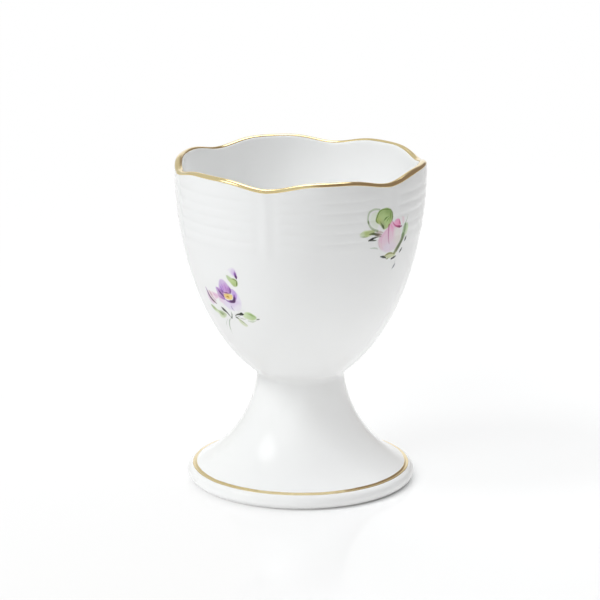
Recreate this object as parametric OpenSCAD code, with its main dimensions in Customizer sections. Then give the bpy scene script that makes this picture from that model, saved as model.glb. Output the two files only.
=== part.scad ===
// Footed porcelain egg cup: a thin bowl shaped like half an egg, with a lobed gilded rim and
// a wicker relief in panels, set with clay slip on a hollow trumpet foot.
// Millimetres, +Z up, the front of the cup faces -Y, the foot stands on z = 0.

/* [Bowl] */
// Width across the bowl at its widest, just under the rim
rim_d = 50; // [44:0.5:60]
// Height of the bowl alone, from its flat base to the crests of the rim
bowl_h = 43.2; // [36:0.2:56]
// Width of the flat base that stands on the foot
base_d = 18.4; // [16:0.2:24]
// How far below the crests of the rim the bowl is widest
wide_drop = 1.3; // [0.5:0.1:4]
// Thickness of the wall at the rim
wall_t = 1.7; // [1.2:0.1:3]
// Thickness of the floor above the base
floor_t = 4.2; // [2.5:0.1:7]
// How far below the crests the inside starts to draw in
inside_drop = 3; // [2.6:0.1:8]

/* [Rim] */
// Number of lobes, with one staff of the relief in each dip between them
lobes = 6; // [4:1:10]
// How far the rim dips between two lobes
rim_dip = 1.3; // [0.4:0.1:2.4]
// Turn of the first dip from the front of the cup, towards +X
front_turn = -16; // [-30:1:30]

/* [Wicker relief] */
// Number of rods in each panel, one above the other
rods = 6; // [3:1:8]
// Height of one rod
rod_pitch = 2.05; // [1.4:0.05:2.6]
// How far the rods stand out of the wall
rod_proud = 0.08; // [0.04:0.01:0.3]
// How far below the crests of the rim the first rod begins
rod_drop = 1.9; // [1.6:0.1:4]
// Width of the upright staff in each dip
staff_w = 3.6; // [2.4:0.1:5]
// How far the staff stands out of the wall
staff_proud = 0.12; // [0.06:0.01:0.5]
// Length over which a staff dies away under the last rod
staff_tail = 1.8; // [0.6:0.1:4]
// Length over which a rod dies away beside a staff
rod_tail = 1.2; // [0.5:0.1:2.5]

/* [Foot] */
// Height of the foot
foot_h = 22.2; // [16:0.2:30]
// Width of the top of the foot, at the neck of the cup
neck_d = 17.4; // [15.4:0.1:20]
// Width across the upper edge of the foot's rounded border
edge_d = 43; // [36:0.5:50]
// Height of the rounded border
edge_h = 3; // [2:0.1:5]
// Radius of the hollow curve from the neck to the border
flare_r = 24; // [17:0.5:40]
// Thickness of the foot's wall
foot_t = 2.8; // [1.8:0.1:3.6]
// Width of the unglazed ring that the cup stands on
ring_w = 1.2; // [0.8:0.1:2.5]

/* [Slip joint] */
// Thickness of the layer of slip between bowl and foot
slip_t = 0.6; // [0.4:0.1:1.2]

/* [Gilding] */
// Depth to which the gold is let into the porcelain
gild_t = 0.2; // [0.1:0.02:0.3]
// Height of the gold on the outside of the rim
gild_out_h = 0.65; // [0.4:0.05:0.8]
// Height of the gold on the inside of the rim
gild_in_h = 0.3; // [0.2:0.05:0.7]
// Reach of the gold line to either side of the foot's upper edge
gild_line = 0.45; // [0.25:0.05:0.8]

/* [Hidden] */

// Heights that follow from the sizes above
base_z = foot_h + slip_t;
crest_z = base_z + bowl_h;
wide_z = crest_z - wide_drop;
floor_z = base_z + floor_t;
inside_z = crest_z - inside_drop;
relief_top = crest_z - rod_drop;
relief_z = relief_top - rods * rod_pitch;

// Radii that follow from the sizes above
rim_r = rim_d / 2;
inside_r = rim_r - wall_t;
base_r = base_d / 2;
neck_r = neck_d / 2;
edge_r = edge_d / 2;
lip_r = wall_t / 2;

// Depth of the whole egg-shaped outline of which the bowl is a part
egg_h = (wide_z - base_z) / sqrt(1 - pow(base_r / rim_r, 2));
// The inside is a little fuller than an ellipse: the exponent is 2 for a true ellipse
fullness = 2.2;

// The mesh of the bowl: columns to a lobe, drawn together at the staffs, and rings up the wall
cols = 12;
crowd = 0.35;
smooth_rings = 12;
rings_per_rod = 4;
inside_rings = 12;
lip_steps = 6;
ring_gap = 0.1;
n_cols = cols * lobes;
lobe_a = 360 / lobes;

// Direction of column j, in degrees from the first dip
function turn(j) = lobe_a * (j / cols - crowd * sin(360 * j / cols) / (2 * PI));

// A place on the cup at angle a from the first dip; the front of the cup is at -90 degrees
function place(a, r, z) = [r * cos(a + front_turn - 90), r * sin(a + front_turn - 90), z];

// Distance along the wall from the nearest staff
function from_staff(a) = abs(a - lobe_a * round(a / lobe_a)) * PI / 180 * rim_r;

// Height of the top of the rim, and of the foot of its rounded lip
function top_z(a) = crest_z - rim_dip * pow((1 + cos(lobes * a)) / 2, 2);
function lip_z(a) = top_z(a) - lip_r;

// Smooth step from 0 to 1 while x goes from 0 to w
function ease(x, w) = (1 - cos(180 * min(max(x / w, 0), 1))) / 2;

// The relief: staffs run to the rim, rods fill the panels between them
function staff(a, z) = staff_proud * (1 - ease(from_staff(a), staff_w / 2))
    * ease(z - relief_z + staff_tail, staff_tail);
function rod(a, k) = rod_proud * (1 - pow(2 * (k / rings_per_rod - floor(k / rings_per_rod)) - 1, 2))
    * ease(from_staff(a) - staff_w / 2, rod_tail);

// Outlines of the wall, as ellipses that are upright where the wall is widest
function outer_r(z) = rim_r * sqrt(1 - pow(max(wide_z - z, 0) / egg_h, 2));
function wall_r(a, z) = outer_r(z) + staff(a, z);

// A ring of points with a radius and a height for each column
function smooth_ring(i) = let (
    low = asin((wide_z - base_z) / egg_h),
    high = asin((wide_z - relief_z) / egg_h),
    b = low + (high - low) * i / smooth_rings,
    z = wide_z - egg_h * sin(b))
    [for (j = [0 : n_cols - 1]) place(turn(j), wall_r(turn(j), z), z)];

function relief_ring(k) = [for (j = [0 : n_cols - 1]) let (
    a = turn(j),
    left = rods * rings_per_rod - k,
    z = min(relief_z + rod_pitch * k / rings_per_rod, lip_z(a) - ring_gap * (left + 1)))
    place(a, wall_r(a, z) + rod(a, k), z)];

// The lip is a half round across the wall: t runs from 0 outside to 180 inside, and
// depth is how far the ring lies under its surface
function lip_ring(t, depth) = [for (j = [0 : n_cols - 1]) let (
    a = turn(j),
    out_r = wall_r(a, lip_z(a)),
    half = (out_r - inside_r) / 2)
    place(a, inside_r + half + (half - depth) * cos(t), lip_z(a) + (lip_r - depth) * sin(t))];

function inside_ring(i) = let (
    b = 90 * i / inside_rings,
    r = inside_r * pow(cos(b), 2 / fullness),
    z = inside_z - (inside_z - floor_z) * pow(sin(b), 2 / fullness))
    [for (j = [0 : n_cols - 1]) place(turn(j), r, min(z, lip_z(turn(j)) - ring_gap))];

// Angles round the lip between which it is gilded, and the steps between them
gild_from = asin(1 - min(gild_out_h / lip_r, 1));
gild_to = 180 - asin(1 - min(gild_in_h / lip_r, 1));
gild_steps = [for (s = [0 : lip_steps]) gild_from + (gild_to - gild_from) * s / lip_steps];

// Triangles between n rings that follow one another, and the last and first where they close
function strip(n, closed) = [for (i = [0 : n - (closed ? 1 : 2)], j = [0 : n_cols - 1]) let (
    next_i = (i + 1) % n,
    next_j = (j + 1) % n_cols,
    a = i * n_cols + j,
    b = i * n_cols + next_j,
    c = next_i * n_cols + next_j,
    d = next_i * n_cols + j)
    each [[a, d, c], [a, c, b]]];

// A body of rings closed by a point at each end, from its base up the outside and down inside
module vessel(rings, low_point, high_point) {
    n = len(rings);
    low = n * n_cols;
    polyhedron(
        points = concat([for (r = rings) each r], [low_point, high_point]),
        faces = concat(strip(n, false),
            [for (j = [0 : n_cols - 1]) [low, j, (j + 1) % n_cols]],
            [for (j = [0 : n_cols - 1]) [low + 1, (n - 1) * n_cols + (j + 1) % n_cols, (n - 1) * n_cols + j]]));
}

// A hoop of rings whose section closes on itself
module hoop(rings) {
    polyhedron(points = [for (r = rings) each r], faces = strip(len(rings), true));
}

module bowl() {
    color("white")
    vessel(concat(
        [for (i = [0 : smooth_rings - 1]) smooth_ring(i)],
        [for (k = [0 : rods * rings_per_rod]) relief_ring(k)],
        [lip_ring(0, 0), lip_ring(gild_from, 0)],
        [for (t = gild_steps) lip_ring(t, gild_t)],
        [lip_ring(gild_to, 0), lip_ring(180, 0)],
        [for (i = [0 : inside_rings - 1]) inside_ring(i)]),
        [0, 0, base_z], [0, 0, floor_z]);
}

module rim_gilding() {
    color("goldenrod")
    hoop(concat(
        [for (t = gild_steps) lip_ring(t, 0)],
        [for (s = [lip_steps : -1 : 0]) lip_ring(gild_steps[s], gild_t)]));
}

// The hollow curve of the foot passes through the neck and the upper edge of the border
chord = [edge_r - neck_r, edge_h - foot_h];
chord_l = norm(chord);
flare_off = sqrt(pow(flare_r, 2) - pow(chord_l / 2, 2));
flare_c = [neck_r, foot_h] + chord / 2 + flare_off * [-chord[1], chord[0]] / chord_l;
border_r = edge_h / 2;

module flare_circle(r) translate(flare_c) circle(r, $fn = 96);
module border_circle(r) translate([edge_r, border_r]) circle(r, $fn = 48);

// Half section of the foot, on the +X side of its axis
module foot_section() {
    intersection() {
        difference() {
            square([edge_r, foot_h]);
            flare_circle(flare_r);
        }
        flare_circle(flare_r + foot_t);
    }
    translate([edge_r - ring_w, 0]) square([ring_w, border_r]);
    border_circle(border_r);
}

// The gold line is a thin skin on the curve and on the border, round the edge between them
module gild_section() {
    difference() {
        intersection() {
            foot_section();
            translate([edge_r, edge_h]) circle(gild_line, $fn = 48);
        }
        difference() {
            border_circle(border_r - gild_t);
            flare_circle(flare_r + gild_t);
        }
    }
}

module foot() {
    color("white")
    rotate_extrude($fn = 96)
    difference() {
        foot_section();
        gild_section();
    }
}

module foot_gilding() {
    color("goldenrod")
    rotate_extrude($fn = 96) gild_section();
}

// The slip is squeezed out into a small bead all round the neck
bore_r = flare_c[0] - sqrt(pow(flare_r + foot_t, 2) - pow(flare_c[1] - foot_h, 2));

module joint_slip() {
    color("whitesmoke")
    translate([0, 0, foot_h])
    rotate_extrude($fn = 96) {
        translate([bore_r, 0]) square([neck_r - bore_r, slip_t]);
        translate([neck_r, slip_t / 2]) circle(slip_t / 2, $fn = 32);
    }
}

bowl();
foot();
joint_slip();
rim_gilding();
foot_gilding();
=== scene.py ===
# %% [markdown]
# A footed porcelain egg cup
#
# The object is an egg cup of white hard-paste porcelain, 66 mm high. A bowl shaped like half an
# egg stands on a hollow trumpet foot. The rim has six lobes, and below it lies a shallow wicker
# relief. The lip and the upper edge of the foot's border carry a line of burnished gold, and
# small sprays of flowers are painted on the glaze.
#
# The solid model fixes every size. This script loads it as the frame and dresses it: each piece
# gets a finer mesh, made by the same rules as its solid, and a material made of nodes.

# %% Load the frame
import math

import bmesh
import bpy
import numpy as np
from mathutils import Matrix, Vector


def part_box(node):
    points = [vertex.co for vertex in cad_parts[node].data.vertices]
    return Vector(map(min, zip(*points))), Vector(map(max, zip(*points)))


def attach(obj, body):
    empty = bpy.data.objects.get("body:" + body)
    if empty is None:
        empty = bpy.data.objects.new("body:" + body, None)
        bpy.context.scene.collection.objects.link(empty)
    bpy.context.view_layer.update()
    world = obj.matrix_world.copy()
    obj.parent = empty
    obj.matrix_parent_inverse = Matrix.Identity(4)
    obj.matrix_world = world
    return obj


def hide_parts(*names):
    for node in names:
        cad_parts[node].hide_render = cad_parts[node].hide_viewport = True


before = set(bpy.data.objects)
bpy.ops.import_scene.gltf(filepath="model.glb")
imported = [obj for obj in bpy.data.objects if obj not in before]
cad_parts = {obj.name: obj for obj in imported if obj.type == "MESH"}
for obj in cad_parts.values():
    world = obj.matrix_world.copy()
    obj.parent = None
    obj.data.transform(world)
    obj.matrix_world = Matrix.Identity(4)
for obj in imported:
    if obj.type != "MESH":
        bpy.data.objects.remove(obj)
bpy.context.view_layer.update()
print("pieces of the solid model:", sorted(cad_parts))

# %% [markdown]
# Sizes of the bowl
#
# A potter works from a profile and a few sizes, and so does this script. All the shapes below
# are worked out in millimetres and turned to metres where a mesh is made. The heights come from
# the frame. The other sizes repeat the driving sizes of the solid. A smooth curve bulges past the
# facets of a solid and the gold lies proud of it, so all is drawn a thousandth smaller, which
# keeps the finer meshes inside its box.

# %% Name the sizes of the bowl
MM = 0.001
INSIDE_THE_BOX = 0.999
RIM_R, WALL_T, FLOOR_T, BASE_R = 25.0, 1.7, 4.2, 9.2
WIDE_DROP, INSIDE_DROP, FULLNESS = 1.3, 3.0, 2.2
LOBES, RIM_DIP, FIRST_DIP = 6, 1.3, -16.0

base_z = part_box("bowl")[0].z / MM
crest_z = round(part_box("rim_gilding")[1].z / MM, 1)
neck_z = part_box("foot")[1].z / MM
wide_z = crest_z - WIDE_DROP
inside_z = crest_z - INSIDE_DROP
floor_z = base_z + FLOOR_T
inside_r = RIM_R - WALL_T
lip_r = WALL_T / 2
egg_h = (wide_z - base_z) / math.sqrt(1 - (BASE_R / RIM_R) ** 2)
print(f"bowl from {base_z:.1f} to {crest_z:.1f} mm, widest at {wide_z:.1f} mm")

# %% [markdown]
# The wall and its relief as formulas
#
# The outside is part of an ellipse turned round the axis. The rim dips between two lobes, and
# each dip stands over an upright staff of the wicker. Between two staffs lie six rods, one above
# the other. The relief is only about a tenth of a millimetre high, because the glaze fills it.
#
# Bump mapping could fake it, but a relief that is part of the mesh also shows at the edge and
# goes wherever the mesh goes. A place on the wall is a turn, in degrees from the front of the
# cup towards the right, and a height.

# %% Describe the wall
RODS, ROD_PITCH, ROD_PROUD, ROD_DROP, ROD_TAIL = 6, 2.05, 0.08, 1.9, 1.2
STAFF_W, STAFF_PROUD, STAFF_TAIL = 3.6, 0.12, 1.8
relief_top = crest_z - ROD_DROP
relief_z = relief_top - RODS * ROD_PITCH


def ease(x, width):
    """Smooth step from 0 to 1 while x goes from 0 to width."""
    return (1 - math.cos(math.pi * min(max(x / width, 0), 1))) / 2


def rim_top(turn):
    """Height of the top of the rim."""
    wave = math.cos(math.radians(LOBES * (turn - FIRST_DIP)))
    return crest_z - RIM_DIP * ((1 + wave) / 2) ** 2


def from_staff(turn):
    """Distance along the wall from the middle of the nearest staff."""
    lobe = 360 / LOBES
    a = turn - FIRST_DIP
    return math.radians(abs(a - lobe * round(a / lobe))) * RIM_R


def staff(turn, z):
    """How far a staff stands out of the wall. It fades at its sides and at its lower end."""
    side = 1 - ease(from_staff(turn), STAFF_W / 2)
    return STAFF_PROUD * side * ease(z - relief_z + STAFF_TAIL, STAFF_TAIL)


def rod(turn, z):
    """How far a rod stands out of the wall. It sinks into the wall beside each staff."""
    u = (z - relief_z) / ROD_PITCH
    if not 0 <= u <= RODS:
        return 0.0
    round_over = 1 - (2 * (u % 1) - 1) ** 2
    return ROD_PROUD * round_over * ease(from_staff(turn) - STAFF_W / 2, ROD_TAIL)


def wall(turn, z):
    """Radius of the outside at a turn and a height, with its relief."""
    plain = RIM_R * math.sqrt(1 - (max(wide_z - z, 0) / egg_h) ** 2)
    return plain + staff(turn, z) + rod(turn, z)


def place(turn, r, z):
    """A point in metres. A turn of 0 is the front of the cup, which faces -Y."""
    a = math.radians(turn)
    return Vector((r * math.sin(a), -r * math.cos(a), z)) * MM * INSIDE_THE_BOX


print(f"relief from {relief_z:.1f} to {relief_top:.1f} mm")

# %% [markdown]
# Skinning rings
#
# The pieces of this cup are round, as if a lathe had turned them. Only the rim and the relief
# depart from that, and the gold at its edges. One helper lays faces between rings that follow one
# another. It could be a Screw modifier on a profile, but the lobes and the relief make most of
# the bowl's rings different.

# %% Make a mesh from rings
COLS_PER_LOBE = 72
COLS = COLS_PER_LOBE * LOBES
turns = [FIRST_DIP + 360 * j / COLS for j in range(COLS)]


def put(name, data):
    """Adds an object that holds this data to the scene."""
    obj = bpy.data.objects.new(name, data)
    bpy.context.scene.collection.objects.link(obj)
    return obj


def put_mesh(name, bm):
    """Turns a finished bmesh into an object of the scene."""
    mesh = bpy.data.meshes.new(name)
    bm.to_mesh(mesh)
    bm.free()
    print(f"{name}: {len(mesh.polygons)} faces")
    return put(name, mesh)


def skin(name, rings, closed=False, caps=False):
    """Lays quads between rings of points. closed joins the last ring to the first, and caps
    closes the two end rings with flat faces."""
    bm = bmesh.new()
    made = [[bm.verts.new(p) for p in ring] for ring in rings]
    pairs = list(zip(made, made[1:])) + ([(made[-1], made[0])] if closed else [])
    for low, high in pairs:
        for j in range(len(low)):
            i = j - 1
            face = bm.faces.new((low[i], low[j], high[j], high[i]))
            face.smooth = True
    if caps:
        bm.faces.new(reversed(made[0]))
        bm.faces.new(made[-1])
    bmesh.ops.recalc_face_normals(bm, faces=bm.faces)
    return put_mesh(name, bm)


print(f"{COLS} points to a ring, {COLS_PER_LOBE} to a lobe")

# %% [markdown]
# The bowl
#
# The bowl of such a cup is pressed or cast in a plaster mould, which gives it the relief, and
# its lip is sponged round. The rings climb the outside, go over the lip as a half round and
# descend inside. Eight rings to a rod are enough to keep it round in a close view. Near the
# dips of the rim the upper rings are pushed down, so that none of them crosses the lip. Inside,
# the last ring stops short of the axis, and a small flat cap closes the floor.

# %% Build the bowl
SMOOTH_RINGS, RINGS_PER_ROD, LIP_RINGS, INSIDE_RINGS = 44, 8, 14, 56
RING_GAP, INSIDE_SWEEP = 0.05, 89


def lip_point(turn, t, lift=0.0):
    """A point on the lip: t runs from 0 outside over the top to 180 inside."""
    foot_of_lip = rim_top(turn) - lip_r
    half = (wall(turn, foot_of_lip) - inside_r) / 2
    a = math.radians(t)
    r = inside_r + half + (half + lift) * math.cos(a)
    return place(turn, r, foot_of_lip + (lip_r + lift) * math.sin(a))


def outside_rings():
    """Rings from the base to the lip: even steps round the curve, then steps of the rods."""
    low = math.asin((wide_z - base_z) / egg_h)
    high = math.asin((wide_z - relief_z) / egg_h)
    for i in range(SMOOTH_RINGS):
        z = wide_z - egg_h * math.sin(low + (high - low) * i / SMOOTH_RINGS)
        yield [place(turn, wall(turn, z), z) for turn in turns]
    count = RODS * RINGS_PER_ROD
    for k in range(count + 1):
        ring = []
        for turn in turns:
            highest = rim_top(turn) - lip_r - RING_GAP * (count - k + 1)
            z = min(relief_z + ROD_PITCH * k / RINGS_PER_ROD, highest)
            ring.append(place(turn, wall(turn, z), z))
        yield ring


def inside_rings():
    """Rings from the lip down to the floor, along a curve a little fuller than an ellipse."""
    for i in range(INSIDE_RINGS):
        b = math.radians(INSIDE_SWEEP * i / INSIDE_RINGS)
        r = inside_r * math.cos(b) ** (2 / FULLNESS)
        z = inside_z - (inside_z - floor_z) * math.sin(b) ** (2 / FULLNESS)
        yield [place(turn, r, min(z, rim_top(turn) - lip_r - RING_GAP)) for turn in turns]


lip_rings = [[lip_point(turn, 180 * s / LIP_RINGS) for turn in turns] for s in range(LIP_RINGS + 1)]
bowl = skin("porcelain_bowl", [*outside_rings(), *lip_rings, *inside_rings()], caps=True)

# %% [markdown]
# The foot
#
# The foot is a hollow trumpet. Its outer curve is an arc from the neck to the border, and the
# border is a half round. It stands on a narrow ring, whose inner edge is wiped round. The
# profile is drawn once, as arcs, and turned round the axis.

# %% Build the foot
NECK_R, EDGE_R, EDGE_H, FLARE_R, FOOT_T, RING_W = 8.7, 21.5, 3.0, 24.0, 2.8, 1.2
RING_ROUND = 0.25
FLARE_STEPS, BORDER_STEPS, ROUND_STEPS = 40, 20, 4

chord = Vector((EDGE_R - NECK_R, EDGE_H - neck_z))
off = math.sqrt(FLARE_R**2 - (chord.length / 2) ** 2)
flare_c = Vector((NECK_R, neck_z)) + chord / 2 + off * Vector((-chord.y, chord.x)) / chord.length
border_c = Vector((EDGE_R, EDGE_H / 2))


def arc(centre, radius, start, end, steps):
    """Points of a profile along an arc, between two angles in degrees."""
    angles = [math.radians(start + (end - start) * i / steps) for i in range(steps + 1)]
    return [centre + radius * Vector((math.cos(a), math.sin(a))) for a in angles]


def angle_at(centre, point):
    """The angle at which a point of the profile lies, seen from the centre of an arc."""
    d = Vector(point) - centre
    return math.degrees(math.atan2(d.y, d.x)) % 360


inner_flare_r = FLARE_R + FOOT_T
bore_r = flare_c.x - math.sqrt(inner_flare_r**2 - (flare_c.y - neck_z) ** 2)
ring_in = EDGE_R - RING_W
ring_z = flare_c.y - math.sqrt(inner_flare_r**2 - (flare_c.x - ring_in) ** 2)
neck_a = angle_at(flare_c, (NECK_R, neck_z))
edge_a = angle_at(flare_c, (EDGE_R, EDGE_H))
outer_curve = arc(flare_c, FLARE_R, neck_a, edge_a, FLARE_STEPS)
border = arc(border_c, EDGE_H / 2, 90, -90, BORDER_STEPS)
round_c = Vector((ring_in + RING_ROUND, RING_ROUND))
inner_curve = arc(flare_c, inner_flare_r, angle_at(flare_c, (ring_in, ring_z)),
                  angle_at(flare_c, (bore_r, neck_z)), FLARE_STEPS)
profile = outer_curve + border[1:] + arc(round_c, RING_ROUND, 270, 180, ROUND_STEPS) + inner_curve


def turned(points):
    """The rings of a profile, given as radius and height in millimetres."""
    return [[place(turn, r, z) for turn in turns] for r, z in points]


foot = skin("trumpet_foot", turned(profile), closed=True)

# %% [markdown]
# The slip joint
#
# Bowl and foot are made apart and stuck together with slip, which is clay thinned with water.
# What is squeezed out is sponged to a small fillet, and the glaze softens it further. It is a
# hollow curve between the wall of the bowl and the neck of the foot. Its ends go on a little
# way inside both, and so does its back, so that no edge of it stands free.

# %% Build the fillet of slip
FILLET_UP, FILLET_DOWN, FILLET_STEPS = 0.7, 0.9, 16
SUNK, SUNK_END, BACK_IN, NEAR = 0.3, 0.04, 1, 0.01


def flare_point(z):
    """The point of the foot's outer curve at a height."""
    return Vector((flare_c.x - math.sqrt(FLARE_R**2 - (flare_c.y - z) ** 2), z))


def meet(p, way_p, q, way_q):
    """Where two lines of the profile cross, each through a point and along a way."""
    gap = q - p
    across = way_p.x * way_q.y - way_p.y * way_q.x
    return p + way_p * (gap.x * way_q.y - gap.y * way_q.x) / across


top_z, low_z = base_z + FILLET_UP, neck_z - FILLET_DOWN
top_point, low_point = Vector((wall(0, top_z), top_z)), flare_point(low_z)
top_way = (Vector((wall(0, top_z + NEAR), top_z + NEAR)) - top_point).normalized()
low_way = (flare_point(low_z - NEAR) - low_point).normalized()
handle = meet(top_point, top_way, low_point, low_way)


def fillet_point(s):
    """A point of the hollow curve, which leaves both walls without an edge. The handle is
    where the two walls would meet if they went straight on."""
    return (1 - s) ** 2 * low_point + 2 * s * (1 - s) * handle + s**2 * top_point


below = low_point + SUNK * low_way - Vector((SUNK_END, 0))
above = top_point + SUNK * top_way - Vector((SUNK_END, 0))
back = [Vector((NECK_R - BACK_IN, above.y)), Vector((NECK_R - BACK_IN, below.y))]
fillet = [below, *(fillet_point(s / FILLET_STEPS) for s in range(FILLET_STEPS + 1)), above]
slip = skin("slip_fillet", turned(fillet + back), closed=True)

# %% [markdown]
# The gilding
#
# Gold is brushed on the fired glaze as a thin paste, fired again at a low heat and rubbed
# bright with a burnisher. It is a film, so it follows the form under it, and its edges waver
# because a hand laid it down. Each film is a hoop of its own, hardly two hundredths of a
# millimetre proud of the glaze and thinner at its edges, which a few slow waves move. A second
# material on the porcelain would be simpler, but its edge would follow the faces of the mesh.

# %% Build the two gold lines
GILD_PROUD, GILD_DEEP = 0.015, 0.06
GILD_OUT_H, GILD_IN_H, GILD_LINE = 0.65, 0.3, 0.45
GILD_STEPS, GILD_EDGE, GILD_FLATNESS = 14, 0.02, 0.3
LIP_WAVER, LINE_WAVER = 3, 0.05


def waver(turn, seed):
    """Slow irregular waves between about -1 and 1, with whole numbers of waves to a turn."""
    a = math.radians(turn)
    waves = ((5, 0.4), (11, 0.3), (23, 0.2), (41, 0.1))
    return sum(size * math.sin(n * a + seed * (n + 1.3)) for n, size in waves)


def proud(share):
    """How far the film stands out, from one edge at a share of 0 to the other at 1."""
    inside = min(max(share, GILD_EDGE), 1 - GILD_EDGE)
    return GILD_PROUD * math.sin(math.pi * inside) ** GILD_FLATNESS


def hoop(name, point, start, end):
    """A closed film. point(turn, t, lift) gives its skin, start and end its edges."""

    def row(share, lift):
        """The ring of points at a share of the way from one edge to the other."""
        return [point(turn, start(turn) + (end(turn) - start(turn)) * share, lift) for turn in turns]

    shares = [i / GILD_STEPS for i in range(GILD_STEPS + 1)]
    top = [row(s, proud(s)) for s in shares]
    return skin(name, top + [row(s, -GILD_DEEP) for s in reversed(shares)], closed=True)


def lip_edge(height):
    """The angle on the half round of the lip at a depth below its top."""
    return math.degrees(math.asin(1 - height / lip_r))


rim_gold = hoop("gilded_lip", lip_point,
                lambda turn: lip_edge(GILD_OUT_H) + LIP_WAVER * waver(turn, 1),
                lambda turn: 180 - lip_edge(GILD_IN_H) + LIP_WAVER * waver(turn, 2))


def foot_line_point(turn, s, lift):
    """A point on the foot, s millimetres from its upper edge: outwards if positive."""
    if s > 0:
        a = math.pi / 2 - s / border_c.y
        p = border_c + (border_c.y + lift) * Vector((math.cos(a), math.sin(a)))
    else:
        a = math.radians(edge_a) + s / FLARE_R
        p = flare_c + (FLARE_R - lift) * Vector((math.cos(a), math.sin(a)))
    return place(turn, p.x, p.y)


foot_gold = hoop("gilded_foot_line", foot_line_point,
                 lambda turn: -GILD_LINE + LINE_WAVER * waver(turn, 3),
                 lambda turn: GILD_LINE + LINE_WAVER * waver(turn, 4))

# %% [markdown]
# Colours of enamel
#
# The flowers are enamel colours, painted on the glaze and fired. Such colours are clear: two
# strokes over one another darken like stained glass, and a thin edge fades into the white. An
# image texture would be the usual way, but it needs a file. Here the paint is added up as
# optical density, and the colour of the film is what such a density lets through. Two helpers
# turn a colour code into linear light, and light into density.

# %% Turn colours into density
DARKEST = 0.01


def linear(code):
    """An sRGB hex colour as linear numbers."""
    parts = [int(code[i:i + 2], 16) / 255 for i in (1, 3, 5)]
    return [c / 12.92 if c <= 0.04045 else ((c + 0.055) / 1.055) ** 2.4 for c in parts]


def density_of(light):
    """The optical density of a paint that lets this light through."""
    return -np.log(np.maximum(light, DARKEST))


print("middle grey as linear light:", round(linear("#808080")[0], 3))

# %% [markdown]
# Lines through a few points
#
# A painter would mark only a few places of a stroke. These helpers run a value or a line
# smoothly through them, and tell how far a place lies inside an outline. A curve object could
# draw such lines too, but here their points are wanted as numbers, to work out what they cover.

# %% Draw curves and outlines
def smooth(x):
    """Eases numbers between 0 and 1, so that they leave both ends slowly."""
    return x * x * (3 - 2 * x)


def along(values, shares):
    """Values at shares from 0 to 1 of a list, eased between its members."""
    values = np.array(values, float)
    if len(values) == 1:
        return np.repeat(values, len(shares), axis=0)
    x = np.clip(shares, 0, 1) * (len(values) - 1)
    k = np.minimum(x.astype(int), len(values) - 2)
    f = smooth(x - k)
    f = f.reshape(f.shape + (1,) * (values.ndim - 1))
    return values[k] * (1 - f) + values[k + 1] * f


def curve_through(points, steps):
    """A smooth line through a few points, with so many steps between two of them."""
    p = np.array([points[0], *points, points[-1]], float)
    p[0], p[-1] = 2 * p[1] - p[2], 2 * p[-2] - p[-3]
    line = []
    for i in range(1, len(p) - 2):
        for t in np.linspace(0, 1, steps, endpoint=False):
            a, b, c, d = p[i - 1], p[i], p[i + 1], p[i + 2]
            line.append(0.5 * (2 * b + (c - a) * t + (2 * a - 5 * b + 4 * c - d) * t**2
                               + (3 * b - a - 3 * c + d) * t**3))
    return np.array([*line, p[-2]])


def inside_by(x, y, ring):
    """How far each place lies inside a closed ring of points. Outside it is negative."""
    x, y = x[:, None], y[:, None]
    ax, ay = ring[:, 0], ring[:, 1]
    bx, by = np.roll(ax, -1), np.roll(ay, -1)
    crossed = ((ay > y) != (by > y)) & (x < (bx - ax) * (y - ay) / (by - ay + 1e-9) + ax)
    inside = np.where(crossed.sum(1) % 2 == 1, 1.0, -1.0)
    return np.hypot(x - ax, y - ay).min(1) * inside


print("points of a curve through three:", len(curve_through([(0, 0), (1, 1), (2, 0)], 10)))

# %% [markdown]
# A brush for enamel
#
# A spray is drawn in millimetres from its middle, with x along the wall and y upwards. Its
# density is kept on a grid of tenths of a millimetre, which is finer than most strokes.
#
# A stroke fades at its edge, is strongest where the paint pools just inside that edge, and each
# hair of the brush leaves a little more or less. A wash is a patch of thin paint in which a few
# colours flow into one another. Where paint is wiped off, a light is left.

# %% Make the brush
GRID = 0.1
STROKE_STEPS, WASH_STEPS = 10, 8
LEAST_HALF, NEAR_MARGIN = 0.02, 0.15
POOLED, POOL_AT, POOL_W = 0.25, 0.75, 0.2
HAIRS, HAIR_DRY, HAIR_WET = 9, 0.8, 1.15
WASH_EDGE, WASH_FLOW = 0.35, 0.1
WIPED = 3
SEED = 7


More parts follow.
